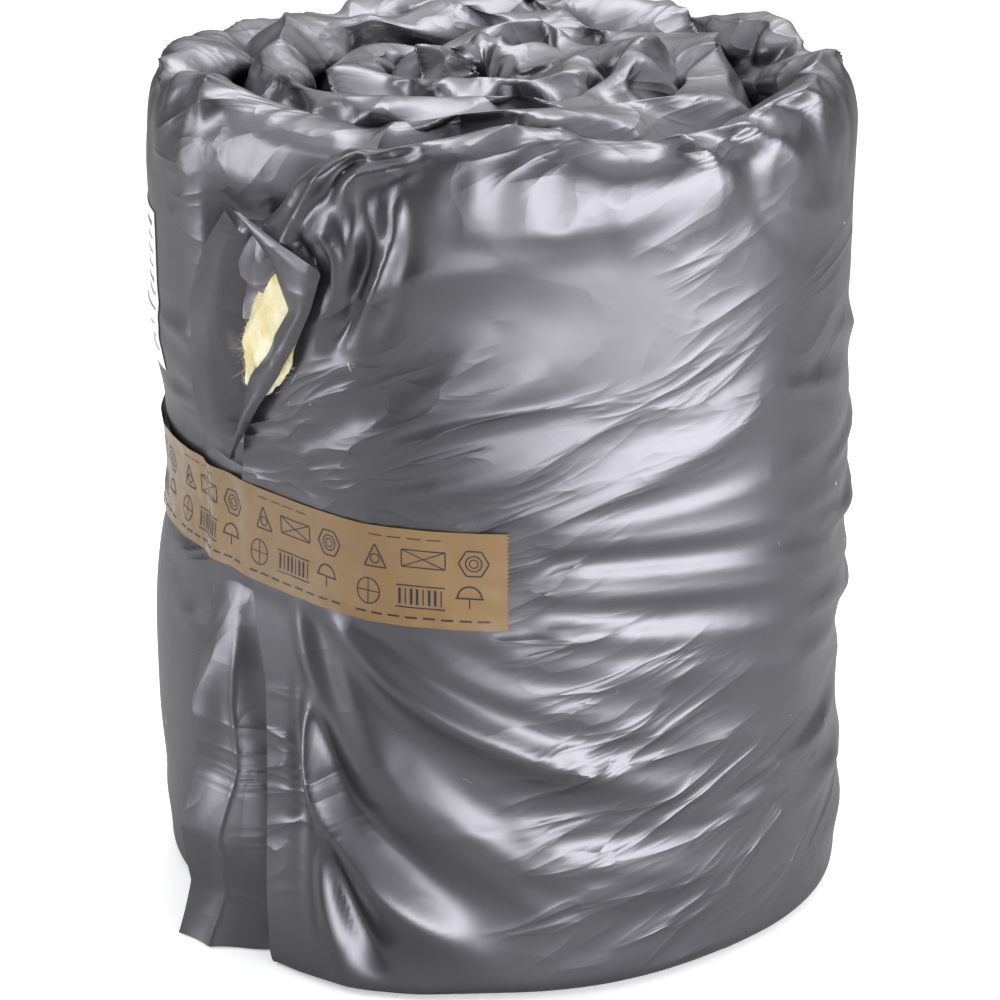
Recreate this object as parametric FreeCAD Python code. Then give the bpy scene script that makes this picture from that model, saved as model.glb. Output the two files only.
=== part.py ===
"""Duct insulation sleeve, wound up for sale: a glass wool tube in a grey film jacket, pressed flat and rolled.

The flattened sleeve is a band as tall as the roll, wound on two centres: each half turn is an arc about one
centre, and the next half turn is an arc about the other, so the radius shrinks by half a pitch each time.
Seen from above it winds inwards anticlockwise from its loose end. There the film runs on past the wool as two
lips, which a strip of packing tape pulls down onto the turn below. The roll stands on its end on the floor.

Millimetres and degrees, +Z up, origin at the middle of the footprint. Angles are seen from above, from +X.
"""
import FreeCAD
import Part

import math
import os

V = FreeCAD.Vector
UP = V(0, 0, 1)

# The band: the flattened sleeve, which is wound into the roll.
sleeve_thickness = 43.0     # two layers of wool and the film, as pressed in the roll
roll_height = 436.0         # width of the flattened sleeve
crown = 14.0                # how far each turn's edge swells up past its sides
foot_round = 5.0            # rounding at the bottom, where the roll's weight flattens the edge
film_thickness = 0.5        # the jacket's film with its fine creases
wool_clearance = 0.3        # between the wool and the film round it

# The winding.
turn_gap = 0.3              # between one turn's film and the next
half_turns = 8
bore_radius = 3.0           # what is left open at the core
loose_end_angle = 252.0     # where the outer turn stops being round and its end slopes down

# The loose end.
mouth_gap = 9.0             # between the two lips of film
wool_end_angle = 237.0      # the wool stops here and the lips run on
rim_angle = 1.0             # how far the space between the lips runs out past their edges, to open it

# The packing tape, stuck over the loose end.
tape_width = 50.0
tape_thickness = 0.3
tape_above_middle = 10.0    # from half way up the wall to the middle of the tape
tape_first_angle = 273.0
tape_last_angle = 145.0

# The paper label, stuck on the turn below.
label_width = 100.0
label_height = 86.0
label_thickness = 0.3
label_below_rim = 59.0
label_first_angle = 197.0

stuck_gap = 0.1             # glue under the tape and the label
joint_overlap = 2.0         # how far the loose end's wedge runs into the round turn that it is fused to
nose_swell = 0.7            # how much of the crown the core's nose has at 45 degrees round its edge

# Sizes that follow.
pitch = sleeve_thickness + turn_gap
centre_step = pitch / 2
outer_radius = bore_radius + sleeve_thickness + (half_turns - 1) * centre_step
side_height = roll_height - crown
under_radius = outer_radius - centre_step            # the turn that the loose end lies on
seat_radius = under_radius + turn_gap
lip_radius = seat_radius + mouth_gap + 2 * film_thickness
tape_bottom = side_height / 2 + tape_above_middle - tape_width / 2
label_bottom = side_height - label_below_rim - label_height


def direction(angle):
    """The unit vector that points to an angle in plan."""
    return V(math.cos(math.radians(angle)), math.sin(math.radians(angle)), 0)


centre_even = direction(loose_end_angle) * (centre_step / 2)
centre_odd = direction(loose_end_angle) * (-centre_step / 2)
corner = centre_even + direction(loose_end_angle) * outer_radius
# The outer lip is straight: it leaves the corner and runs as a tangent to the circle of lip_radius.
tip_angle = loose_end_angle - math.degrees(math.acos(lip_radius / (outer_radius + centre_step)))


def half_turn_place(number):
    """Centre, inner radius and first angle of a half turn. Number 0 is the outermost."""
    centre = centre_even if number % 2 == 0 else centre_odd
    inner = outer_radius - sleeve_thickness - number * centre_step
    return centre, inner, loose_end_angle + 180.0 * (number % 2)


def at(centre, radius, angle):
    """A point in plan at an angle and radius about a centre."""
    return centre + direction(angle) * radius


def line(first, last):
    """A straight edge between two points."""
    return Part.LineSegment(first, last).toShape()


def arc_through(first, middle, last):
    """A round edge through three points."""
    return Part.Arc(first, middle, last).toShape()


def arc(centre, radius, first, last):
    """A plan arc about a centre, from one angle to another."""
    middle = (first + last) / 2
    return arc_through(at(centre, radius, first), at(centre, radius, middle), at(centre, radius, last))


def prism(edges, bottom, top):
    """A closed plan outline raised between two heights."""
    outline = Part.Face(Part.Wire(Part.__sortEdges__(edges)))
    outline.translate(UP * bottom)
    return outline.extrude(UP * (top - bottom))


def band_section(inner, outer, inset):
    """The band's upright section in the XZ plane: flat foot, straight sides and a swollen top edge."""
    left, right = inner + inset, outer - inset
    bottom, shoulder = inset, side_height - inset
    rounding = foot_round - inset
    bend = rounding * (1 - math.sqrt(0.5))
    foot_right = [V(right - rounding, 0, bottom), V(right - bend, 0, bottom + bend), V(right, 0, bottom + rounding)]
    foot_left = [V(left, 0, bottom + rounding), V(left + bend, 0, bottom + bend), V(left + rounding, 0, bottom)]
    top = [V(right, 0, shoulder), V((left + right) / 2, 0, roll_height - inset), V(left, 0, shoulder)]
    return Part.Face(Part.Wire([
        arc_through(*foot_right),
        line(foot_right[2], top[0]),
        arc_through(*top),
        line(top[2], foot_left[0]),
        arc_through(*foot_left),
        line(foot_left[2], foot_right[0]),
    ]))


def half_turn(number, inset):
    """One half turn of the band, with every face moved inwards by inset."""
    centre, inner, first = half_turn_place(number)
    skip = math.degrees(inset / outer_radius) if number == 0 else 0
    section = band_section(inner, inner + sleeve_thickness, inset)
    section.rotate(V(0, 0, 0), UP, first + skip)
    section.translate(centre)
    return section.revolve(centre, UP, 180.0 - skip)


def core_nose(inset):
    """The inner end of the band, folded into a half round that fills the innermost half turn."""
    centre, inner, first = half_turn_place(half_turns - 2)
    radius = inner - turn_gap - inset
    shoulder = side_height - inset
    foot_middle, foot_edge = V(0, 0, inset), V(radius, 0, inset)
    top_middle, top_edge = V(0, 0, roll_height - inset), V(radius, 0, shoulder)
    swell = V(radius * math.sqrt(0.5), 0, shoulder + (crown - inset) * nose_swell)
    section = Part.Face(Part.Wire([
        line(foot_middle, foot_edge),
        line(foot_edge, top_edge),
        arc_through(top_edge, swell, top_middle),
        line(top_middle, foot_middle),
    ]))
    section.rotate(V(0, 0, 0), UP, first)
    section.translate(centre)
    return section.revolve(centre, UP, 180.0)


def lip_corner(inset):
    """Where the round turn meets the straight lip, moved inwards by inset from both."""
    round_normal = direction(loose_end_angle) * -1
    lip_normal = direction(tip_angle) * -1
    return corner + (round_normal + lip_normal) * (inset / (1 + round_normal.dot(lip_normal)))


def on_lip(inset, angle):
    """A point on the straight lip, moved inwards by inset, at an angle about the odd centre."""
    return at(centre_odd, (lip_radius - inset) / math.cos(math.radians(angle - tip_angle)), angle)


def loose_end(inset, last_angle):
    """The wedge under the straight lip, out to an angle, moved inwards by inset."""
    seat = seat_radius + inset
    inner = outer_radius - sleeve_thickness + inset
    into_band = loose_end_angle + joint_overlap
    round_end = loose_end_angle + math.degrees(inset / outer_radius)
    edges = [
        arc(centre_even, inner, loose_end_angle, into_band),
        line(at(centre_even, inner, into_band), at(centre_even, outer_radius - inset, into_band)),
        arc(centre_even, outer_radius - inset, into_band, round_end),
        line(lip_corner(inset), on_lip(inset, last_angle)),
        line(on_lip(inset, last_angle), at(centre_odd, seat, last_angle)),
        arc(centre_odd, seat, last_angle, loose_end_angle),
    ]
    if inset:
        edges.append(line(at(centre_even, outer_radius - inset, round_end), lip_corner(inset)))
    return prism(edges, inset, side_height - inset)


def wound_band(inset, last_angle):
    """The whole wound band as one solid, with every face moved inwards by inset."""
    pieces = [half_turn(number, inset) for number in range(half_turns)]
    pieces += [core_nose(inset), loose_end(inset, last_angle)]
    return pieces[0].multiFuse(pieces[1:]).removeSplitter()


def make_wool():
    """The glass wool lining, pressed flat: it fills the film up to where it was cut off."""
    return wound_band(film_thickness + wool_clearance, wool_end_angle)


def make_jacket():
    """The film sleeve round the wool, open at the loose end as a mouth between two lips."""
    return wound_band(0, tip_angle).cut(wound_band(film_thickness, tip_angle - rim_angle))


def tape_route(offset):
    """The tape's line in plan, offset outwards: round the outer turn, down the lip and onto the turn below."""
    landing = tip_angle - math.degrees(math.acos((under_radius + offset) / (lip_radius + offset)))
    arc_end = at(centre_even, outer_radius + offset, loose_end_angle)
    corner_point = lip_corner(-offset)
    tip_point = on_lip(-offset, tip_angle)
    landing_point = at(centre_odd, under_radius + offset, landing)
    return [
        arc(centre_even, outer_radius + offset, tape_first_angle, loose_end_angle),
        line(arc_end, corner_point),
        line(corner_point, tip_point),
        line(tip_point, landing_point),
        arc(centre_odd, under_radius + offset, landing, tape_last_angle),
    ]


def make_tape():
    """The strip of packing tape, as long as its first and last angles make it."""
    near, far = stuck_gap, stuck_gap + tape_thickness
    ends = [
        line(at(centre_even, outer_radius + near, tape_first_angle),
             at(centre_even, outer_radius + far, tape_first_angle)),
        line(at(centre_odd, under_radius + near, tape_last_angle),
             at(centre_odd, under_radius + far, tape_last_angle)),
    ]
    return prism(tape_route(near) + tape_route(far) + ends, tape_bottom, tape_bottom + tape_width)


def make_label():
    """The paper label, stuck on the turn below the loose end."""
    near = under_radius + stuck_gap
    far = near + label_thickness
    last = label_first_angle - math.degrees(label_width / near)
    edges = [
        arc(centre_odd, near, label_first_angle, last),
        line(at(centre_odd, near, last), at(centre_odd, far, last)),
        arc(centre_odd, far, last, label_first_angle),
        line(at(centre_odd, far, label_first_angle), at(centre_odd, near, label_first_angle)),
    ]
    return prism(edges, label_bottom, label_bottom + label_height)


parts = {
    "film_jacket": make_jacket(),
    "wool_lining": make_wool(),
    "packing_tape": make_tape(),
    "paper_label": make_label(),
}

# The origin is the middle of the footprint, so everything moves there together.
box = FreeCAD.BoundBox()
for shape in parts.values():
    box.add(shape.BoundBox)
to_origin = V(-box.Center.x, -box.Center.y, 0)

os.makedirs("parts", exist_ok=True)
for name, shape in parts.items():
    shape.translate(to_origin)
    solids = shape.Solids
    if len(solids) != 1 or not shape.isValid():
        raise ValueError(f"{name} has {len(solids)} solids, valid: {shape.isValid()}")
    solids[0].exportStep(f"parts/{name}.step")
    print(f"{name}: {solids[0].Volume / 1e6:.3f} litres, {len(solids[0].Faces)} faces")
print(f"outer radius {outer_radius:.2f}, tip angle {tip_angle:.2f}, moved by {to_origin.x:.3f} {to_origin.y:.3f}")
flat = at(centre_even, outer_radius - sleeve_thickness / 2, 270.0) + to_origin
print(f"middle of the outer turn's foot at the front: {flat.x:.2f} {flat.y:.2f}")
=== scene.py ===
"""A wound and taped duct insulation sleeve: grey film over glass wool, standing on end on a pale floor."""
import math

import bmesh
import bpy
import numpy as np
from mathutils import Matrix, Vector, noise


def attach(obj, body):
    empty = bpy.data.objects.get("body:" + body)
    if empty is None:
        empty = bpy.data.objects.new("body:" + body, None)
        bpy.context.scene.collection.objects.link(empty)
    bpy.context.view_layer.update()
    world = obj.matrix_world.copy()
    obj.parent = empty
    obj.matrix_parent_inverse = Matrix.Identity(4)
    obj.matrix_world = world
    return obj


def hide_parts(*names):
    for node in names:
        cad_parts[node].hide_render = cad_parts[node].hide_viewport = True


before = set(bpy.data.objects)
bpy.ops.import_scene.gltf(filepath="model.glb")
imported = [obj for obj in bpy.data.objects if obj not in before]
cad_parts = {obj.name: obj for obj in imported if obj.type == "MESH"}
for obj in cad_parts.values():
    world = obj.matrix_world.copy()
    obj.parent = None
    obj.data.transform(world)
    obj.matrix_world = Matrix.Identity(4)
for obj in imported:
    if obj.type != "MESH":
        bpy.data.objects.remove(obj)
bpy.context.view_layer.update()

# Camera, floor and lights --------------------------------------------------------------------------------
# The roll is seen from the front and a little above, from two metres away through a long lens.
# Softboxes stand at the right front, the left and overhead, so that the satin film has broad soft highlights.
scene = bpy.context.scene
view_distance, view_height_angle = 2.017, math.radians(18.5)
view_target = Vector((0, 0, 0.215))

camera = bpy.data.objects.new("camera", bpy.data.cameras.new("camera"))
camera.data.lens = 136.8
camera.data.shift_y = -0.032
towards_camera = Vector((0, -math.cos(view_height_angle), math.sin(view_height_angle)))
camera.location = view_target + towards_camera * view_distance
camera.rotation_euler = (math.pi / 2 - view_height_angle, 0, 0)
scene.collection.objects.link(camera)
scene.camera = camera


def node_material(name):
    """A new material with its node tree, its shader and a shorthand for adding and joining nodes."""
    material = bpy.data.materials.new(name)
    material.use_nodes = True
    tree = material.node_tree
    shader = tree.nodes["Principled BSDF"]

    def add(kind, **values):
        node = tree.nodes.new("ShaderNode" + kind)
        for key, value in values.items():
            if hasattr(node, key):
                setattr(node, key, value)
            else:
                node.inputs[key.replace("_", " ").title()].default_value = value
        return node

    return material, shader, add, tree.links.new


def softbox(name, place, aim, size, power):
    """A square or oblong area light that points at a place."""
    light = bpy.data.lights.new(name, "AREA")
    light.shape = "RECTANGLE"
    light.size, light.size_y = size
    light.energy = power
    lamp = bpy.data.objects.new(name, light)
    lamp.location = place
    lamp.rotation_euler = (Vector(aim) - Vector(place)).to_track_quat("-Z", "Y").to_euler()
    lamp.visible_camera = False
    scene.collection.objects.link(lamp)


softbox("softbox_right_front", (1.15, -1.1, 0.42), (0, 0, 0.34), (2.1, 0.62), 36)
softbox("softbox_front", (0.05, -1.95, 0.3), (0, 0, 0.3), (0.9, 0.45), 5)
softbox("softbox_left", (-1.5, -0.1, 0.8), (0, 0, 0.25), (0.35, 1.4), 15)
softbox("softbox_top", (0.2, 0.9, 1.9), (0, 0, 0.4), (1.3, 0.8), 22)
daylight = bpy.data.lights.new("soft_daylight", "SUN")
daylight.energy = 2.1
daylight.angle = math.radians(110)
daylight_lamp = bpy.data.objects.new("soft_daylight", daylight)
daylight_lamp.rotation_euler = (math.radians(-20), math.radians(8), 0)
scene.collection.objects.link(daylight_lamp)
scene.view_settings.view_transform = "Standard"

world = bpy.data.worlds.new("studio")
world.use_nodes = True
world.node_tree.nodes["Background"].inputs["Color"].default_value = (0.9, 0.93, 1.0, 1)
world.node_tree.nodes["Background"].inputs["Strength"].default_value = 0.13
scene.world = world

floor_bm = bmesh.new()
bmesh.ops.create_grid(floor_bm, x_segments=1, y_segments=1, size=9)
floor_mesh = bpy.data.meshes.new("studio_floor")
floor_bm.to_mesh(floor_mesh)
floor_bm.free()
studio_floor = bpy.data.objects.new("studio_floor", floor_mesh)
scene.collection.objects.link(studio_floor)
floor_paint, shader, add, join = node_material("pale_floor")
shader.inputs["Roughness"].default_value = 0.75
# the floor is lit evenly white to the eye; in glossy rays its colour drops to a darker grey, a painted shade in
# the film's reflection of it
ray = add("LightPath")
floor_reflection_shade = add("MapRange")
join(ray.outputs["Is Glossy Ray"], floor_reflection_shade.inputs["Value"])
floor_reflection_shade.inputs["To Min"].default_value = 0.86
floor_reflection_shade.inputs["To Max"].default_value = 0.4
join(floor_reflection_shade.outputs["Result"], shader.inputs["Base Color"])
floor_glow = add("MapRange")
join(ray.outputs["Is Camera Ray"], floor_glow.inputs["Value"])
floor_glow.inputs["To Max"].default_value = 0.35
join(floor_glow.outputs["Result"], shader.inputs["Emission Strength"])
shader.inputs["Emission Color"].default_value = (1, 1, 1, 1)
floor_mesh.materials.append(floor_paint)

# Film jacket ---------------------------------------------------------------------------------------------
# The sleeve's jacket is a tube of satin grey polythene film with metal pigment, pressed flat over the wool
# and wound up. Its turns stand as puffed folds on top, and the tape and the winding leave long folds in its wall.
sleeve_thickness = 43.0
turn_step = 21.65               # the radius that each half turn loses
outer_radius = 197.55
loose_end_angle = 252.0
roll_height = 436.0
tape_middle, tape_half = 221.0, 25.0
lip_radius, lip_tip_angle = 186.2, 220.15
MM = 0.001


def direction(angle):
    """Unit vectors in plan for angles in degrees, as two arrays."""
    turned = np.radians(angle)
    return np.cos(turned), np.sin(turned)


shift_x, shift_y = -11.143, 10.352
end_x, end_y = direction(loose_end_angle)
centre_even = (end_x * turn_step / 2 + shift_x, end_y * turn_step / 2 + shift_y)
centre_odd = (-end_x * turn_step / 2 + shift_x, -end_y * turn_step / 2 + shift_y)


def wound_point(turn, depth):
    """The plan point at an angle wound in from the loose end, at a depth inside the band's outer face."""
    half = np.clip(np.floor(turn / 180.0), 0, 7)
    even = half % 2 == 0
    x0 = np.where(even, centre_even[0], centre_odd[0])
    y0 = np.where(even, centre_even[1], centre_odd[1])
    radius = outer_radius - half * turn_step
    # past the loose end the outer face runs straight, as a tangent to the circle of lip_radius
    past = turn < 0
    lip = lip_radius / np.cos(np.radians(np.clip(loose_end_angle + turn - lip_tip_angle, -60, 60)))
    x0 = np.where(past, centre_odd[0], x0)
    y0 = np.where(past, centre_odd[1], y0)
    radius = np.where(past, lip, radius) - depth
    dx, dy = direction(loose_end_angle + turn)
    return x0 + dx * radius, y0 + dy * radius


def smooth_step(value, low, high):
    """0 below low, 1 above high, and smooth between."""
    share = np.clip((value - low) / (high - low), 0, 1)
    return share * share * (3 - 2 * share)


def ripple(x, y, seed):
    """Smooth noise from about -1 to 1 at each point of two arrays."""
    flat = [noise.noise((float(a), float(b), seed)) for a, b in zip(x.ravel(), y.ravel())]
    return np.array(flat).reshape(x.shape) * 1.6


def creases(x, y, seed):
    """Crumpled noise with sharp ridges, from about 0 to 1."""
    return 1 - np.abs(ripple(x, y, seed)) * 1.5


def fold_field(across, up, route, height, width, sharp=2.0):
    """The height of one fold whose crest follows a bowed route of three points, tapered to both ends."""
    a, b, c = [np.array(p, float) for p in route]
    control = 2 * b - (a + c) / 2
    best = np.full(across.shape, 1e9)
    place = np.zeros(across.shape)
    steps = np.linspace(0, 1, 15)
    for k in range(14):
        p, q = [(1 - t) ** 2 * a + 2 * t * (1 - t) * control + t * t * c for t in steps[k:k + 2]]
        run = q - p
        share = np.clip(((across - p[0]) * run[0] + (up - p[1]) * run[1]) / (run @ run), 0, 1)
        gap = np.hypot(across - p[0] - share * run[0], up - p[1] - share * run[1])
        nearer = gap < best
        best = np.where(nearer, gap, best)
        place = np.where(nearer, (k + share) / 14, place)
    taper = np.sin(np.pi * np.clip(place, 0.02, 0.98)) ** 0.6
    flare = width * (0.55 + 0.9 * place)
    crest = np.exp(-(np.sqrt(best ** 2 + sharp ** 2) - sharp) / flare)
    trough = 0.35 * np.exp(-((best - 2.2 * flare) / (1.3 * flare)) ** 2)
    return height * taper * (crest - trough)


# Columns go round and inwards from the loose end. Rows go up the wall, over the turn's top and down inside it.
cell = 2.9
# where the outer lip's edge lies at each height: (height, turn)
lip_edge = [(0, -13.5), (20, -14), (148, -18), (190, -22.5), (250, -24.5), (285, -22), (306, -19),
            (330, -13.5), (347, -9.8), (366, -12.5), (389, -21.5), (410, -23), (440, -23)]
lip_columns = 26
outer_columns = lip_columns + int(math.pi * (2 * outer_radius - turn_step) / cell)
inner_columns = int(math.pi * 472 / cell)
foot_rows, wall_rows, dome_rows, inside_rows = 6, 134, 28, 12
rows = foot_rows + wall_rows + dome_rows + inside_rows
turns = np.concatenate([
    np.linspace(-1, 0, lip_columns, endpoint=False),        # shares of the way to the lip's edge
    np.linspace(0, 360, outer_columns - lip_columns, endpoint=False),
    np.linspace(360, 1440, inner_columns),
])
shoulder = 398.0


def profile():
    """Depth and height of each row for a turn's section, and the share of the dome's swell that it takes."""
    depth, height, swell = [], [], []
    for k in range(foot_rows):
        corner = math.pi / 2 * k / foot_rows
        depth.append(9 * (1 - math.sin(corner)) + 8 * (k == 0))
        height.append(0.6 + 8 * (1 - math.cos(corner)))
        swell.append(0.0)
    for k in range(wall_rows):
        depth.append(0.0)
        height.append(8.6 + (shoulder - 8.6) * k / wall_rows)
        swell.append(0.0)
    for k in range(dome_rows):
        corner = math.pi * k / dome_rows
        depth.append((sleeve_thickness - 0.4) / 2 * (1 - math.cos(corner)))
        height.append(shoulder)
        swell.append(math.sin(corner) ** 0.8)
    for k in range(inside_rows):
        depth.append(sleeve_thickness - 0.4)
        height.append(shoulder - 3.6 * k)
        swell.append(0.0)
    return np.array(depth), np.array(height), np.array(swell)


row_depth, row_height, row_swell = profile()
turn, depth = np.meshgrid(turns, row_depth, indexing="ij")
height = np.broadcast_to(row_height, turn.shape).copy()
swell = np.broadcast_to(row_swell, turn.shape)
profile_up = np.concatenate([row_height[:foot_rows + wall_rows],
                             shoulder + np.arange(dome_rows + inside_rows) * 2.9])
up = np.broadcast_to(profile_up, turn.shape)
edge_turn = np.interp(up, [h for h, _ in lip_edge], [t for _, t in lip_edge])
turn = np.where(turn < 0, -turn * edge_turn, turn)
across = np.where(turn < 360, turn * 3.45, 1242 + (turn - 360) * 1.37)   # mm along the band
wall = 1 - smooth_step(up, shoulder - 10, shoulder + 12)
taped = smooth_step(np.abs(up - tape_middle), tape_half + 9, tape_half + 1) * np.maximum(
    smooth_step(turn, 31, 26), (turn > 240) * (turn < 361))

# The swell of the turns' tops: long puffs, tents and pleats.
puff = 37 + 8 * ripple(across / 85, up * 0 + 0.3, 1.5)
dome = swell * puff
height += dome
lean = 3.5 * ripple(across / 60, up * 0 + 4.1, 2.5) * swell
tents = (creases(across / 62 + up / 90, up / 70, 7.5) - 0.5) * 15
tents += (creases(across / 26, up / 34, 9.5) - 0.5) * 7
outer_face = smooth_step(up, shoulder + 42, shoulder + 10) * (turn < 361)
top_part = smooth_step(up, shoulder - 30, shoulder + 12) * (1 - 0.8 * outer_face)
out = tents * top_part * (1 - 0.75 * smooth_step(up, shoulder + 60, shoulder + 95))

# The wall's long folds, as (turn in degrees, height in mm) for start, middle and end.
wall_folds = [
    ([(17, 250), (36, 260), (70, 300)], 4.0, 9), ([(24, 243), (50, 250), (100, 262)], 3.0, 8),
    ([(26, 236), (50, 236), (104, 222)], 4.5, 8), ([(26, 222), (52, 218), (100, 196)], 3.5, 7),
    ([(26, 210), (53, 206), (104, 180)], 4.5, 8), ([(26, 199), (44, 188), (96, 166)], 4.5, 7),
    ([(16, 196), (40, 172), (84, 146)], 3.0, 8), ([(-8, 208), (15, 150), (54, 98)], 8.5, 7),
    ([(-12, 196), (-6, 150), (6, 96)], 5, 6),
    ([(2, 198), (26, 158), (64, 120)], 3.0, 7), ([(-8, 146), (0, 80), (19, 26)], 14.0, 7),
    ([(-9, 144), (-5, 90), (0, 18)], 11.0, 6), ([(-3, 78), (0, 44), (6, 14)], -13.0, 6),
    ([(-4, 190), (8, 110), (34, 34)], 4.5, 9),
    ([(10, 118), (24, 78), (44, 44)], 4.0, 8), ([(24, 96), (36, 70), (60, 52)], 3.0, 8),
    ([(-6, 262), (10, 290), (30, 330)], 3.0, 8), ([(-8, 275), (8, 305), (22, 352)], 3.0, 7),
    ([(-4, 254), (14, 268), (40, 288)], 3.0, 8), ([(-3, 350), (10, 372), (34, 384)], 3.0, 9),
    ([(4, 89), (53, 86), (103, 62)], 1.6, 2.5),
    ([(12, 405), (30, 396), (52, 402)], 2.5, 7), ([(66, 400), (74, 384), (90, 378)], 2.5, 7),
]
fold_random = np.random.default_rng(11)
for band in range(64):
    start = fold_random.uniform(60, 330)
    level = fold_random.uniform(24, 350)
    run = fold_random.uniform(16, 44)
    slope = fold_random.uniform(-10, 10)
    wall_folds.append(([(start, level), (start + run / 2, level + slope), (start + run, level + 2.4 * slope)],
                       fold_random.uniform(1.2, 3.6), fold_random.uniform(4, 10)))
folds = np.zeros(turn.shape)
for route, size, width in wall_folds:
    folds += fold_field(across, up, [(a * 3.45, b) for a, b in route], size, width)
out += folds * wall

# The knot of folds over the mouth.
hood_folds = [
    ([(8, 408), (6.5, 378), (0, 338)], 7, 3.5), ([(3, 402), (2.5, 372), (-2, 336)], -11, 4.5),
    ([(-2, 366), (-2.5, 392), (-8, 398)], 7, 3), ([(-9, 402), (-7, 385), (-4, 372)], -7, 3.5),
    ([(-4, 420), (-9, 405), (-16, 392)], 5, 3.5), ([(2, 428), (-2, 414), (-4, 402)], -8, 4),
    ([(12, 424), (4, 418), (-3, 408)], 6, 4), ([(-12, 398), (-9, 386), (-10, 374)], 5, 3),
]
for route, size, width in hood_folds:
    out += fold_field(across, up, [(a * 3.45, b) for a, b in route], size, width, sharp=0.6) * (turn < 30)

out += 2.6 * ripple(across / 120, up / 90, 12.5) * wall
out *= 1 - taped
# The tape draws the wall in, most of all at the loose end.
near_tape = np.exp(-np.abs(up - tape_middle) ** 2 / 46 ** 2)
left_of_end = smooth_step(turn, 40, 4) + smooth_step(turn, 236, 268)
out -= 9 * near_tape * np.clip(left_of_end, 0, 1) * wall
# the loose end leaves the round wall in a soft bend
out -= 2.37 * (np.sqrt(turn ** 2 + 64) - np.abs(turn)) / 2 * smooth_step(np.abs(turn), 80, 20)
# the slack film spreads on the floor under the loose end
out += 12 * smooth_step(up, 165, 10) * smooth_step(turn, 22, -10)
covered = smooth_step(turn, 318, 328) * (turn < 361) * (up < 415)
out = np.where(covered > 0, out * (1 - covered) - 2 * covered, out)
# a hollow under the mouth, beside the wool
groove = smooth_step(turn, 324, 330) * smooth_step(turn, 348, 341)
out -= 12 * groove * smooth_step(up, 250, 285) * smooth_step(up, 400, 375)
# the end of the outer turn narrows to a wedge, and its top slopes down to the mouth
lip_out = lip_radius / np.cos(np.radians(loose_end_angle + turn - lip_tip_angle))
wedge = np.clip((lip_out - 177.5) / sleeve_thickness, 0.1, 1)
depth = np.where(turn < 0, depth * wedge, depth)
hood_drop = 46 * smooth_step(turn, 3, -23) * (turn < 30)
height = np.where(height > 250, 250 + (height - 250) * (186 - hood_drop) / 186, height)

x, y = wound_point(turn, depth - out * np.where(up > shoulder + 70, -1, 1) - lean)
height += 0.35 * out * top_part * swell
height = np.maximum(height, 0.6)
place = np.stack([x, y, height], axis=-1)

film_bm = bmesh.new()
bmesh.ops.create_grid(film_bm, x_segments=rows - 1, y_segments=len(turns) - 1, size=1)
film_bm.verts.ensure_lookup_table()
grid_order = np.array([(v.co.y, v.co.x) for v in film_bm.verts])
column = np.rint((grid_order[:, 0] + 1) / 2 * (len(turns) - 1)).astype(int)
row = np.rint((grid_order[:, 1] + 1) / 2 * (rows - 1)).astype(int)
hidden = []
shown = []
for vert, i, j in zip(film_bm.verts, column, row):
    vert.co = place[i, j] * MM
    unseen = i > outer_columns + 4 and j < foot_rows + wall_rows - 8
    (hidden if unseen else shown).append(vert)
film_column = np.array([column[v.index] for v in shown])
film_row = np.array([row[v.index] for v in shown])
bmesh.ops.delete(film_bm, geom=hidden, context="VERTS")
film_bm.normal_update()
if sum(face.normal.dot(face.calc_center_median()) for face in film_bm.faces) < 0:
    bmesh.ops.reverse_faces(film_bm, faces=film_bm.faces)
film_mesh = bpy.data.meshes.new("jacket_film")
film_bm.to_mesh(film_mesh)
film_bm.free()
jacket_film = bpy.data.objects.new("jacket_film", film_mesh)
scene.collection.objects.link(jacket_film)


def point_values(values):
    """Picks the values of a grid of columns and rows for the points that the film kept."""
    return values[film_column, film_row]


def settle(piece, rest, hold, frames, bending=0.3, pin=4.0, tension=12.0):
    """Relaxes a sheet as cloth from its start towards its rest sizes, held softly at each point."""
    piece.shape_key_add(name="start")
    cut = piece.shape_key_add(name="cut")
    cut.data.foreach_set("co", rest.astype(np.float32).ravel())
    group = piece.vertex_groups.new(name="hold")
    levels = np.round(hold, 2)
    for level in np.unique(levels):
        group.add([int(k) for k in np.flatnonzero(levels == level)], float(level), "REPLACE")
    cloth = piece.modifiers.new("settle", "CLOTH")
    settings = cloth.settings
    settings.quality = 4
    settings.mass = 0.02
    settings.tension_stiffness = tension
    settings.compression_stiffness = tension
    settings.shear_stiffness = tension / 3
    settings.bending_stiffness = bending
    settings.tension_damping = 5
    settings.compression_damping = 5
    settings.shear_damping = 5
    settings.air_damping = 2
    settings.vertex_group_mass = "hold"
    settings.pin_stiffness = pin
    settings.rest_shape_key = cut
    settings.effector_weights.gravity = 0
    cloth.collision_settings.use_collision = False
    for number in range(1, frames + 1):
        scene.frame_set(number)
    shaped = piece.evaluated_get(bpy.context.evaluated_depsgraph_get()).to_mesh()
    points = np.empty(len(shaped.vertices) * 3, np.float32)
    shaped.vertices.foreach_get("co", points)
    piece.modifiers.remove(cloth)
    piece.vertex_groups.remove(group)
    piece.shape_key_clear()
    piece.data.vertices.foreach_set("co", points)
    piece.data.update()
    return points.reshape(-1, 3)


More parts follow.
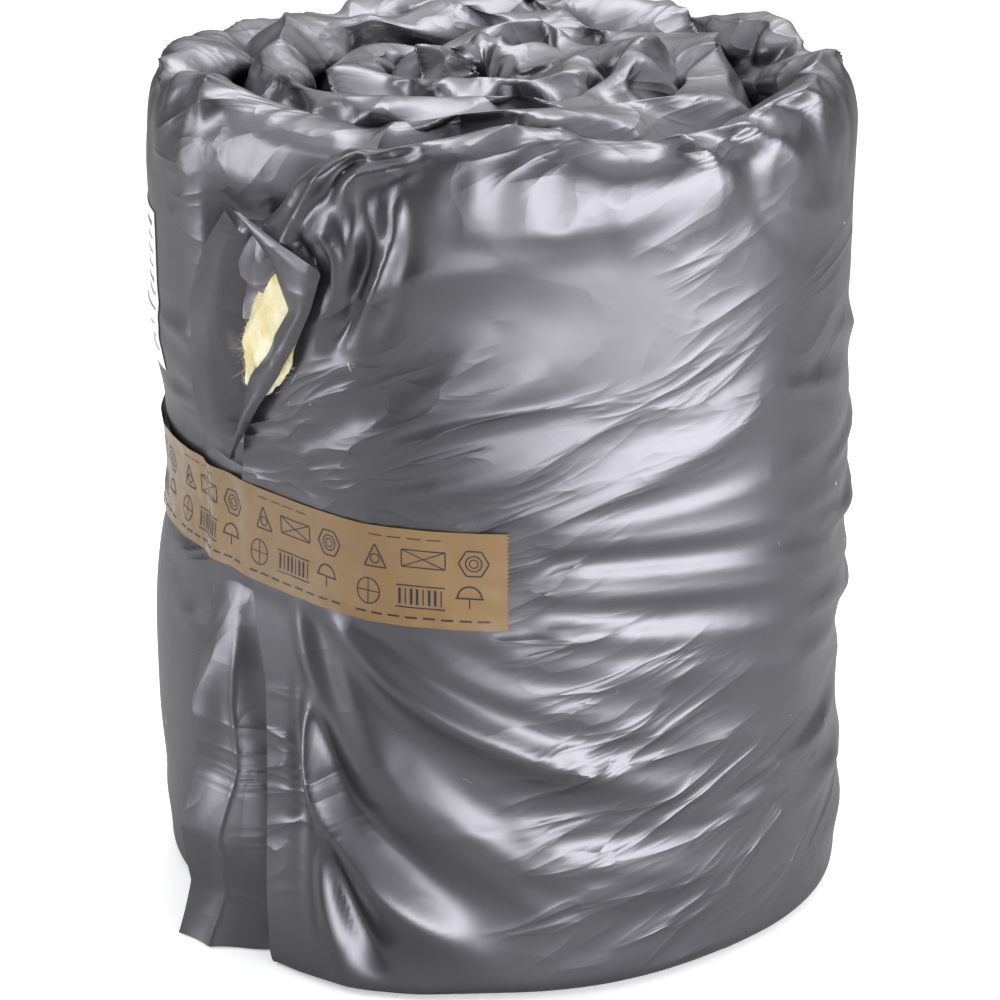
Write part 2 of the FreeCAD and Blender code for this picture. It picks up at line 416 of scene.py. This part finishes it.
# The film is a little too large for the wool under it, so it is relaxed as cloth: the rest shape stands
# further out and taller than the start, and soft pins hold each point near its place as the springy wool does.
rest_x, rest_y = wound_point(turn, depth - (out + 1.0) * np.where(up > shoulder + 70, -1, 1) - lean)
slack = 0.015 + 0.03 * smooth_step(up, 330, 240)
slack += 0.05 * smooth_step(turn, 16, 4) * smooth_step(up, 320, 350)
rest_z = height * (1 + slack) + 9 * swell
rest_shape = np.stack([rest_x, rest_y, rest_z], axis=-1) * MM
hold = 0.12 - 0.08 * smooth_step(up, shoulder - 30, shoulder + 6)
hold[up < 2] = 1.0
hold[:, -2:] = 1.0
hold[(turn < 26) & (np.abs(up - tape_middle) < tape_half + 3)] = 1.0
settle(jacket_film, point_values(rest_shape), point_values(hold), 22, bending=0.1)
smooth_bm = bmesh.new()
smooth_bm.from_mesh(film_mesh)
every_axis = {"use_axis_x": True, "use_axis_y": True, "use_axis_z": True}
inside = [vert for vert in smooth_bm.verts if not vert.is_boundary]
bmesh.ops.smooth_vert(smooth_bm, verts=inside, factor=0.25, **every_axis)
# the large folds under the tape cross the grid at a slant, and are smoothed further
slanted = (point_values(turn) < 60) & (point_values(up) < 192)
slanted = [vert for vert, soft in zip(smooth_bm.verts, slanted) if soft and not vert.is_boundary]
for number in range(3):
    bmesh.ops.smooth_vert(smooth_bm, verts=slanted, factor=0.5, **every_axis)
smooth_bm.to_mesh(film_mesh)
smooth_bm.free()

# how strongly the film is crumpled: most on top, and about the mouth
crumpled = 0.06 + 0.55 * top_part + 0.3 * smooth_step(turn, 14, 2) * smooth_step(up, 320, 360)
crumpled = np.clip(crumpled, 0, 0.6)
flow_layer = film_mesh.attributes.new("film_flow", "FLOAT_COLOR", "POINT")
flow_values = np.stack([point_values(v) for v in
                        (across * MM, (up - 0.25 * across) * MM, 0 * up, crumpled)], axis=-1)
flow_layer.data.foreach_set("color", flow_values.astype(np.float32).ravel())
film_paint, shader, add, join = node_material("satin_metallic_film")
where = add("TexCoord")
shade = add("TexNoise", scale=9.0, detail=3.0)
join(where.outputs["Object"], shade.inputs["Vector"])
tint = add("ValToRGB")
tint.color_ramp.elements[0].color = (0.105, 0.102, 0.117, 1)
tint.color_ramp.elements[1].color = (0.165, 0.161, 0.178, 1)
join(shade.outputs["Fac"], tint.inputs["Fac"])
join(tint.outputs["Color"], shader.inputs["Base Color"])
shader.inputs["Metallic"].default_value = 0.85
shader.inputs["Roughness"].default_value = 0.38
shader.inputs["Coat Weight"].default_value = 0.2
shader.inputs["Coat Roughness"].default_value = 0.28
# fine creases: long ones that lean along the wall, and short crumples that gather towards the top
flow = add("Attribute", attribute_name="film_flow")
stretch = add("VectorMath", operation="MULTIPLY")
join(flow.outputs["Vector"], stretch.inputs[0])
stretch.inputs[1].default_value = (11, 42, 1)
long_crease = add("TexNoise", noise_type="RIDGED_MULTIFRACTAL", scale=1.0, detail=2.0, distortion=0.5,
                  offset=1.0)
join(stretch.outputs["Vector"], long_crease.inputs["Vector"])
patches = add("TexNoise", scale=7.0, detail=1.0)
join(where.outputs["Object"], patches.inputs["Vector"])
patch_ramp = add("MapRange")
join(patches.outputs["Fac"], patch_ramp.inputs["Value"])
patch_ramp.inputs["From Min"].default_value = 0.46
patch_ramp.inputs["From Max"].default_value = 0.66
long_dent = add("Bump", distance=0.0016)
join(patch_ramp.outputs["Result"], long_dent.inputs["Strength"])
join(long_crease.outputs["Fac"], long_dent.inputs["Height"])
crumple = add("TexNoise", noise_type="RIDGED_MULTIFRACTAL", scale=27.0, detail=2.0, distortion=0.3,
              offset=1.0)
join(where.outputs["Object"], crumple.inputs["Vector"])
crumple_dent = add("Bump", distance=0.0022)
join(flow.outputs["Alpha"], crumple_dent.inputs["Strength"])
join(crumple.outputs["Fac"], crumple_dent.inputs["Height"])
join(long_dent.outputs["Normal"], crumple_dent.inputs["Normal"])
join(crumple_dent.outputs["Normal"], shader.inputs["Normal"])
film_mesh.materials.append(film_paint)
film_mesh.shade_smooth()


def cut_down(piece, kept):
    """Deletes the points of a piece that are not kept."""
    bm = bmesh.new()
    bm.from_mesh(piece.data)
    bmesh.ops.delete(bm, geom=[vert for vert, keep in zip(bm.verts, kept) if not keep], context="VERTS")
    bm.to_mesh(piece.data)
    bm.free()


# the outer turn and the turns inside it are two pieces, cut where the loose end hides the joint
inner_turns = bpy.data.objects.new("inner_turns", film_mesh.copy())
scene.collection.objects.link(inner_turns)
cut_down(inner_turns, film_column >= outer_columns)
cut_down(jacket_film, film_column <= outer_columns)
for piece in (jacket_film, inner_turns):
    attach(piece, "root")
    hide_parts("film_jacket")

# Film underside ------------------------------------------------------------------------------------------
# The turns' lower edges: the same film, pressed flat on the floor by the weight of the roll.


def sheet_from_grid(name, points, paint):
    """A sheet whose grid of points is given as columns and rows."""
    wide, tall = points.shape[:2]
    bm = bmesh.new()
    bmesh.ops.create_grid(bm, x_segments=wide - 1, y_segments=tall - 1, size=1)
    for vert in bm.verts:
        i = round((vert.co.x + 1) / 2 * (wide - 1))
        j = round((vert.co.y + 1) / 2 * (tall - 1))
        vert.co = points[i, j]
    bm.normal_update()
    if sum(face.normal.dot(face.calc_center_median()) for face in bm.faces) < 0:
        bmesh.ops.reverse_faces(bm, faces=bm.faces)
    mesh = bpy.data.meshes.new(name)
    bm.to_mesh(mesh)
    bm.free()
    flow = mesh.attributes.new("film_flow", "FLOAT_COLOR", "POINT")
    for vert, value in zip(mesh.vertices, flow.data):
        value.color = (vert.co.x, vert.co.z, vert.co.y, 0.22)
    mesh.materials.append(paint)
    mesh.shade_smooth()
    piece = bpy.data.objects.new(name, mesh)
    scene.collection.objects.link(piece)
    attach(piece, "root")
    return piece


foot_turn, foot_depth = np.meshgrid(np.linspace(-12, 1438, 460), np.linspace(0, 1, 10), indexing="ij")
x, y = wound_point(foot_turn, 9 + foot_depth * 30.5)
foot_z = 1.2 + 7 * np.abs(2 * foot_depth - 1) ** 4 + 0.7 * ripple(foot_turn / 9, foot_depth * 4, 15.5)
film_foot = sheet_from_grid("film_foot", np.stack([x, y, foot_z], axis=-1) * MM, film_paint)
if sum(face.normal.z for face in film_foot.data.polygons) > 0:
    film_foot.data.flip_normals()

# Under lip -----------------------------------------------------------------------------------------------
# The sleeve's other layer of film at the loose end: it lies on the turn below, passes under the tape and
# fans out as a loose tail down to the floor.


def loose_point(angle, radius, z):
    """A point at an angle and radius about the centre that the loose end lies round."""
    dx, dy = direction(angle)
    return np.stack([centre_odd[0] + dx * radius, centre_odd[1] + dy * radius, z], axis=-1) * MM


def lip_surface(angle):
    """The radius of the straight outer lip at an angle."""
    return lip_radius / np.cos(np.radians(angle - lip_tip_angle))


def pinch_at(z):
    """How far the tape draws the film in at a height."""
    return 9 * np.exp(-(z - tape_middle) ** 2 / 46 ** 2)


def edge_values(stations, heights):
    """Interpolates a list of (height, value) at heights."""
    return np.interp(heights, [h for h, _ in stations], [v for _, v in stations])


# the left edge's angle at each height, and how far the film stands off the turn below
under_left = [(0, 221.4), (30, 222.4), (62, 221.0), (95, 222.2), (128, 219.6), (160, 218.8), (190, 216),
              (246, 216), (264, 217.5), (301, 218.8), (336, 219), (352, 222), (371, 225.5), (389, 229.5)]
under_lift = [(0, 38), (30, 30), (60, 31), (95, 20), (120, 17), (185, 2), (250, 2), (275, 7), (336, 13),
              (389, 15)]
share, z = np.meshgrid(np.linspace(0, 1, 40), np.linspace(1, 389, 160), indexing="ij")
left = edge_values(under_left, z)
right = np.full(z.shape, 243.0)
angle = left + (right - left) * share
left_radius = 176.5 + edge_values(under_lift, z)
right_radius = np.minimum(lip_surface(right) - 5, 180)
radius = left_radius + (right_radius - left_radius) * share ** 1.3 - pinch_at(z)
radius += 3.0 * ripple(share * 3, z / 45, 21.5) * (1 - np.exp(-((z - tape_middle) / 34) ** 2))
radius -= 6 * np.sin(np.pi * share) * smooth_step(z, 258, 290)
radius += 6 * np.exp(-np.abs(share - 0.3 - 0.1 * np.sin(z / 60)) / 0.1) * smooth_step(z, 190, 120)
groove = smooth_step(z, 256, 290) * smooth_step(share, 0.12, 0.4) * smooth_step(share, 1.0, 0.7)
radius -= 9 * groove
leaf_crest = 0.12 + 0.3 * (389 - z) / 130
radius += 5 * np.exp(-np.sqrt((share - leaf_crest) ** 2 + 0.0009) / 0.09) * smooth_step(z, 250, 290)
radius -= 4 * np.exp(-np.sqrt((share - leaf_crest - 0.22) ** 2 + 0.0009) / 0.08) * smooth_step(z, 250, 290)
z = np.where(z > 250, 250 + (z - 250) * (1 - 0.5 * share), z)
under_lip = sheet_from_grid("under_lip", loose_point(angle, radius, z), film_paint)

# Folded strip --------------------------------------------------------------------------------------------
# Beside the wool, a strip of the outer lip's edge is folded back over the wall.
strip_stations = [
    (0.0, (258, -25.0), (260, -24.5)), (0.2, (285, -22.2), (290, -17.5)), (0.4, (306, -19.2), (314, -11.8)),
    (0.6, (328, -14.0), (333, -8.2)), (0.75, (347, -10.0), (350, -5.6)), (0.88, (368, -13.5), (371, -3.6)),
    (1.0, (391, -22.5), (389, -20.0)),
]
along, over = np.meshgrid(np.linspace(0, 1, 70), np.linspace(0, 1, 12), indexing="ij")
stops = [k for k, _, _ in strip_stations]
rim_z = np.interp(along, stops, [a[0] for _, a, _ in strip_stations])
rim_t = np.interp(along, stops, [a[1] for _, a, _ in strip_stations])
free_z = np.interp(along, stops, [b[0] for _, _, b in strip_stations])
free_t = np.interp(along, stops, [b[1] for _, _, b in strip_stations])
strip_z = rim_z + (free_z - rim_z) * over
strip_t = rim_t + (free_t - rim_t) * over
strip_lift = 1.2 + 4.5 * np.sin(np.pi * np.clip(over * 0.8, 0, 1)) + 1.0 * ripple(along * 6, over * 2, 31.5)
bend_in = 2.37 * (np.sqrt(strip_t ** 2 + 64) - np.abs(strip_t)) / 2
strip_radius = lip_surface(loose_end_angle + strip_t) - pinch_at(strip_z) - bend_in + strip_lift
strip_points = loose_point(loose_end_angle + strip_t, strip_radius, strip_z)
folded_strip = sheet_from_grid("folded_strip", strip_points, film_paint)

# Wool ----------------------------------------------------------------------------------------------------
# The glass wool lining shows at the mouth: yellow loose fibre, torn off rather than cut.
wool_paint, shader, add, join = node_material("yellow_glass_wool")
where = add("TexCoord")
clump = add("TexNoise", scale=60.0, detail=8.0)
join(where.outputs["Object"], clump.inputs["Vector"])
tint = add("ValToRGB")
tint.color_ramp.elements[0].position = 0.35
tint.color_ramp.elements[1].position = 0.62
tint.color_ramp.elements[0].color = (0.66, 0.56, 0.24, 1)
tint.color_ramp.elements[1].color = (0.86, 0.82, 0.62, 1)
join(clump.outputs["Fac"], tint.inputs["Fac"])
join(tint.outputs["Color"], shader.inputs["Base Color"])
shader.inputs["Roughness"].default_value = 0.95
shader.inputs["Sheen Weight"].default_value = 0.4
strands = add("TexNoise", scale=400.0, detail=6.0)
join(where.outputs["Object"], strands.inputs["Vector"])
dent = add("Bump", strength=0.6, distance=0.002)
join(strands.outputs["Fac"], dent.inputs["Height"])
join(dent.outputs["Normal"], shader.inputs["Normal"])

wool_bm = bmesh.new()
bmesh.ops.create_icosphere(wool_bm, subdivisions=5, radius=1)
for vert in wool_bm.verts:
    spot = vert.co.copy()
    lump = 1 + 0.16 * noise.noise(spot * 2.2) + 0.07 * noise.noise(spot * 6) + 0.035 * noise.noise(spot * 15)
    spot *= lump
    z = 335 + 41 * spot.z
    angle = 239.0 + 7.0 * spot.x + 4.6 * spot.z
    middle = (177.5 + lip_surface(angle)) / 2
    vert.co = Vector([float(v) for v in loose_point(angle, middle + 8.5 * spot.y, z)])
wool_mesh = bpy.data.meshes.new("wool_end")
wool_bm.to_mesh(wool_mesh)
wool_bm.free()
wool_mesh.materials.append(wool_paint)
wool_mesh.shade_smooth()
wool_end = bpy.data.objects.new("wool_end", wool_mesh)
scene.collection.objects.link(wool_end)


def fibre(bm, start, heading, curl, length, width, steps=4):
    """One fine fibre as a curved strip that narrows to its tip."""
    side = heading.cross(curl).normalized() * width / 2
    strip = bmesh.ops.create_grid(bm, x_segments=steps, y_segments=1, size=1)["verts"]
    for vert in strip:
        share = (vert.co.x + 1) / 2
        middle = start + heading * (length * share) + curl * (length * 0.35 * share ** 2)
        vert.co = middle + side * (vert.co.y * (1 - 0.6 * share))


wool_random = np.random.default_rng(5)
fibre_bm = bmesh.new()
wool_skin = [v for v in wool_end.data.vertices if v.normal.y < 0.3 or v.normal.x < -0.2]
for number in range(2600):
    root = wool_skin[int(wool_random.integers(len(wool_skin)))]
    heading = (root.normal + Vector(wool_random.normal(0, 0.8, 3))).normalized()
    curl = Vector(wool_random.normal(0, 1, 3)).normalized()
    fibre(fibre_bm, root.co - root.normal * 0.001, heading, curl, wool_random.uniform(0.003, 0.0085), 0.00016)
fibre_mesh = bpy.data.meshes.new("wool_fibres")
fibre_bm.to_mesh(fibre_mesh)
fibre_bm.free()
fibre_mesh.materials.append(wool_paint)
wool_fibres = bpy.data.objects.new("wool_fibres", fibre_mesh)
scene.collection.objects.link(wool_fibres)
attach(wool_fibres, "root")
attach(wool_end, "root")
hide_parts("wool_lining")

# Packing tape --------------------------------------------------------------------------------------------
# A strip of brown packing tape, 50 mm wide, torn off against a toothed blade. It holds the loose end down and
# pulls the film in.
tape_first, tape_last = 273.0, 145.0


def turn_on_wall(angle):
    """The turn past the loose end for an angle about the odd centre; the wall's turns are about the even one."""
    turned = angle - loose_end_angle
    offset = math.degrees(turn_step / outer_radius)
    return np.where(turned > 0, turned + offset * np.sin(np.radians(turned)), turned)


def tape_surface(angle):
    """The radius about the odd centre of whatever the tape lies on, before the tape's pinch."""
    wall_x = centre_even[0] - centre_odd[0]
    wall_y = centre_even[1] - centre_odd[1]
    dx, dy = direction(angle)
    along_ray = dx * wall_x + dy * wall_y
    round_wall = along_ray + np.sqrt(outer_radius ** 2 - (wall_x ** 2 + wall_y ** 2 - along_ray ** 2))
    turned = turn_on_wall(angle)
    on_end = np.where(turned > 0, round_wall, lip_surface(np.clip(angle, 222, 262)))
    on_end = on_end - 2.37 * (np.sqrt(turned ** 2 + 64) - np.abs(turned)) / 2
    fall = smooth_step(angle, 229.0, 222.5)
    return on_end * (1 - fall) + (178.2 + 4.0 * smooth_step(angle, 213, 218)) * fall


def tape_pinch(angle):
    """How far the tape pulls the film in at an angle."""
    turned = turn_on_wall(angle)
    front = smooth_step(turned, 40, 4) * (turned > 0)
    return 9 * np.where(turned > 0, front, smooth_step(turned + 360, 236, 268))


def on_tape(length_share, up_mm, lift=0.5):
    """A point on the tape from its share of the way along and its height above the tape's middle."""
    angle = tape_first + (tape_last - tape_first) * length_share
    radius = tape_surface(angle) - tape_pinch(angle) * np.exp(-(up_mm / 46) ** 2) + lift
    z = tape_middle + up_mm
    return loose_point(angle, radius, z)


def tape_buckle(length_share, up_mm):
    """The small waves of a stuck tape."""
    return 0.35 * ripple(length_share * 40, up_mm / 9, 41.5)


tape_columns = 300
tape_rows = np.linspace(-tape_half, tape_half, 51)
share, band = np.meshgrid(np.linspace(0, 1, tape_columns), tape_rows, indexing="ij")
tooth = np.where(np.arange(51) % 2 == 0, 0.0028, 0)
share = np.where(share == 0, share - tooth[None, :], share)
tape_strip = sheet_from_grid("tape_strip", on_tape(share, band, 0.9 + tape_buckle(share, band)), film_paint)
tape_paint, shader, add, join = node_material("brown_packing_tape")
where = add("TexCoord")
cloud = add("TexNoise", scale=25.0, detail=4.0)
join(where.outputs["Object"], cloud.inputs["Vector"])
tint = add("ValToRGB")
tint.color_ramp.elements[0].color = (0.16, 0.094, 0.034, 1)
tint.color_ramp.elements[1].color = (0.25, 0.155, 0.066, 1)
join(cloud.outputs["Fac"], tint.inputs["Fac"])
join(tint.outputs["Color"], shader.inputs["Base Color"])
shader.inputs["Roughness"].default_value = 0.28
shader.inputs["Coat Weight"].default_value = 0.5
shader.inputs["Coat Roughness"].default_value = 0.08
dent = add("Bump", strength=0.25, distance=0.001)
join(cloud.outputs["Fac"], dent.inputs["Height"])
join(dent.outputs["Normal"], shader.inputs["Normal"])
tape_strip.data.materials[0] = tape_paint
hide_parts("packing_tape")

# Tape print ----------------------------------------------------------------------------------------------
# Plain line drawings and dashes in dark ink, which repeat along the tape.
tape_middle_line = on_tape(np.linspace(0, 1, 400), np.zeros(400))
tape_runs = np.concatenate([[0], np.cumsum(np.linalg.norm(np.diff(tape_middle_line, axis=0), axis=1))]) / MM


def ink_line(bm, surface, route, width):
    """A drawn line of a width on a surface, along a route of flat points in millimetres."""
    route = np.array(route, float)
    runs = np.concatenate([[0], np.cumsum(np.hypot(*np.diff(route, axis=0).T))])
    count = max(2, int(runs[-1] / 1.2) + 1)
    stops = np.linspace(0, runs[-1], count)
    x, y = np.interp(stops, runs, route[:, 0]), np.interp(stops, runs, route[:, 1])
    dx, dy = np.gradient(x), np.gradient(y)
    size = np.hypot(dx, dy) + 1e-9
    strip = bmesh.ops.create_grid(bm, x_segments=count - 1, y_segments=1, size=1)["verts"]
    for vert in strip:
        k = round((vert.co.x + 1) / 2 * (count - 1))
        reach = vert.co.y * width / 2
        vert.co = surface(x[k] - dy[k] / size[k] * reach, y[k] + dx[k] / size[k] * reach)


def on_print(x, y):
    """A point just above the tape, from millimetres along it from its toothed end and above its middle."""
    share = np.array([np.interp(x, tape_runs, np.linspace(0, 1, 400))])
    band = np.array([y])
    return Vector([float(v) for v in on_tape(share, band, 1.05 + tape_buckle(share, band))[0]])


def ring(x, y, radius, corners=28, start=0.0, sweep=360.0):
    """Flat points round an arc."""
    return [(x + radius * math.cos(math.radians(start + sweep * k / corners)),
             y + radius * math.sin(math.radians(start + sweep * k / corners))) for k in range(corners + 1)]


print_bm = bmesh.new()
for repeat in range(6):
    x = 8 + 79 * repeat
    if x + 62 > tape_runs[-1]:
        break
    drawings = [
        (ring(x + 8, 9, 7.5, 6), 0.7), (ring(x + 8, 9, 4.0), 0.6), (ring(x + 8, 9, 2.2), 0.5),
        ([(x + 22, 14), (x + 44, 14), (x + 44, 5), (x + 22, 5), (x + 22, 14)], 0.6),
        ([(x + 22, 5), (x + 44, 14)], 0.5), ([(x + 22, 14), (x + 44, 5)], 0.5),
        ([(x + 52, 3), (x + 58, 15), (x + 64, 3), (x + 52, 3)], 0.7), (ring(x + 58, 7.2, 2.4), 0.6),
        (ring(x + 10, -9, 6.0, 16, 0, 180), 0.8), ([(x + 3, -9), (x + 17, -9)], 0.8),
        ([(x + 10, -9), (x + 10, -14)], 0.6), (ring(x + 62, -10, 6.5, 24), 0.6),
        ([(x + 55.5, -10), (x + 68.5, -10)], 0.5), ([(x + 62, -16.5), (x + 62, -3.5)], 0.5),
    ]
    drawings += [([(x + 24 + 3 * k, -6), (x + 24 + 3 * k, -14)], 1.3 if k % 3 else 0.6) for k in range(8)]
    drawings += [([(x + 22, -4.5), (x + 47, -4.5)], 0.6), ([(x + 22, -15.5), (x + 47, -15.5)], 0.6)]
    drawings += [([(x + 9 * k, -20.5), (x + 9 * k + 6, -20.5)], 0.9) for k in range(8)]
    drawings += [([(x + 24 + 10 * k, 20), (x + 31 + 10 * k, 20)], 0.5) for k in range(4)]
    for route, width in drawings:
        ink_line(print_bm, on_print, route, width)
ink_paint, shader, add, join = node_material("dark_blue_ink")
shader.inputs["Base Color"].default_value = (0.018, 0.018, 0.04, 1)
shader.inputs["Roughness"].default_value = 0.35


def joined_piece(name, bm, paint):
    """Makes a finished piece of a bmesh, with its faces turned away from the roll's middle."""
    bm.normal_update()
    inward = [face for face in bm.faces if face.normal.dot(face.calc_center_median() * Vector((1, 1, 0))) < 0]
    bmesh.ops.reverse_faces(bm, faces=inward)
    mesh = bpy.data.meshes.new(name)
    bm.to_mesh(mesh)
    bm.free()
    mesh.materials.append(paint)
    piece = bpy.data.objects.new(name, mesh)
    scene.collection.objects.link(piece)
    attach(piece, "root")
    return piece


tape_print = joined_piece("tape_print", print_bm, ink_paint)

# Paper label ---------------------------------------------------------------------------------------------
# A white paper label, stuck flat on the turn below.
label_first, label_width, label_bottom, label_height = 197.0, 100.0, 277.0, 86.0
label_rise = np.linspace(label_bottom, label_bottom + label_height, 40)
share, z = np.meshgrid(np.linspace(0, 1, 50), label_rise, indexing="ij")
angle = label_first - share * math.degrees(label_width / 176)
label_points = loose_point(angle, 178.6 + 0.4 * ripple(share * 5, z / 20, 51.5), z)
paper_label = sheet_from_grid("label_sheet", label_points, film_paint)
wrap = paper_label.modifiers.new("stick", "SHRINKWRAP")
wrap.target = jacket_film
wrap.wrap_mode = "ABOVE_SURFACE"
wrap.offset = 0.0005
with bpy.context.temp_override(object=paper_label, active_object=paper_label, selected_objects=[paper_label]):
    bpy.ops.object.modifier_apply(modifier="stick")
label_paint, shader, add, join = node_material("white_label_paper")
shader.inputs["Base Color"].default_value = (0.82, 0.82, 0.81, 1)
shader.inputs["Roughness"].default_value = 0.6
paper_label.data.materials[0] = label_paint
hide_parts("paper_label")

# Label bars ----------------------------------------------------------------------------------------------
# The label's print, as plain grey bars in the place of lines of text.


def on_label(x, y):
    """A point by the label's place, from millimetres across it and up it."""
    angle = np.array(label_first - math.degrees(x / 176))
    spot = loose_point(angle, np.array(178.6), np.array(label_bottom + y))
    return Vector([float(v) for v in spot])


# each bar's start and end across the label, and its weight
bars = [(8, 52, 2.4), (8, 80, 1.0), (8, 74, 1.0), (8, 62, 1.0), (8, 34, 2.0), (8, 70, 1.0), (8, 58, 1.0),
        (8, 92, 0.5), (8, 44, 1.6), (8, 66, 1.0)]
bars_bm = bmesh.new()
for line, (first, last, weight) in enumerate(bars):
    ink_line(bars_bm, on_label, [(first, 78 - 7.6 * line), (last, 78 - 7.6 * line)], weight)
grey_ink, shader, add, join = node_material("grey_label_ink")
shader.inputs["Base Color"].default_value = (0.16, 0.16, 0.18, 1)
shader.inputs["Roughness"].default_value = 0.6
label_bars = joined_piece("label_bars", bars_bm, grey_ink)
wrap = label_bars.modifiers.new("stick", "SHRINKWRAP")
wrap.target = jacket_film
wrap.wrap_mode = "ABOVE_SURFACE"
wrap.offset = 0.0007
with bpy.context.temp_override(object=label_bars, active_object=label_bars, selected_objects=[label_bars]):
    bpy.ops.object.modifier_apply(modifier="stick")

# Stray fibres --------------------------------------------------------------------------------------------
# A few short glass fibres that have come out of the wool cling to the film.
speck_random = np.random.default_rng(21)
speck_bm = bmesh.new()
wall_points = [v for v in jacket_film.data.vertices if 0.03 < v.co.z < 0.4]
for number in range(90):
    spot = wall_points[int(speck_random.integers(len(wall_points)))]
    flat_way = spot.normal.cross(Vector(speck_random.normal(0, 1, 3))).normalized()
    curl = spot.normal.cross(flat_way) * speck_random.choice([-1, 1])
    length = speck_random.choice([0.001, 0.0014, 0.002, 0.0045], p=[0.35, 0.3, 0.2, 0.15])
    fibre(speck_bm, spot.co + spot.normal * 0.0007, flat_way, curl, float(length), 0.00035, 5)
speck_paint, shader, add, join = node_material("pale_glass_fibre")
shader.inputs["Base Color"].default_value = (0.8, 0.76, 0.62, 1)
shader.inputs["Roughness"].default_value = 0.5
stray_fibres = joined_piece("stray_fibres", speck_bm, speck_paint)
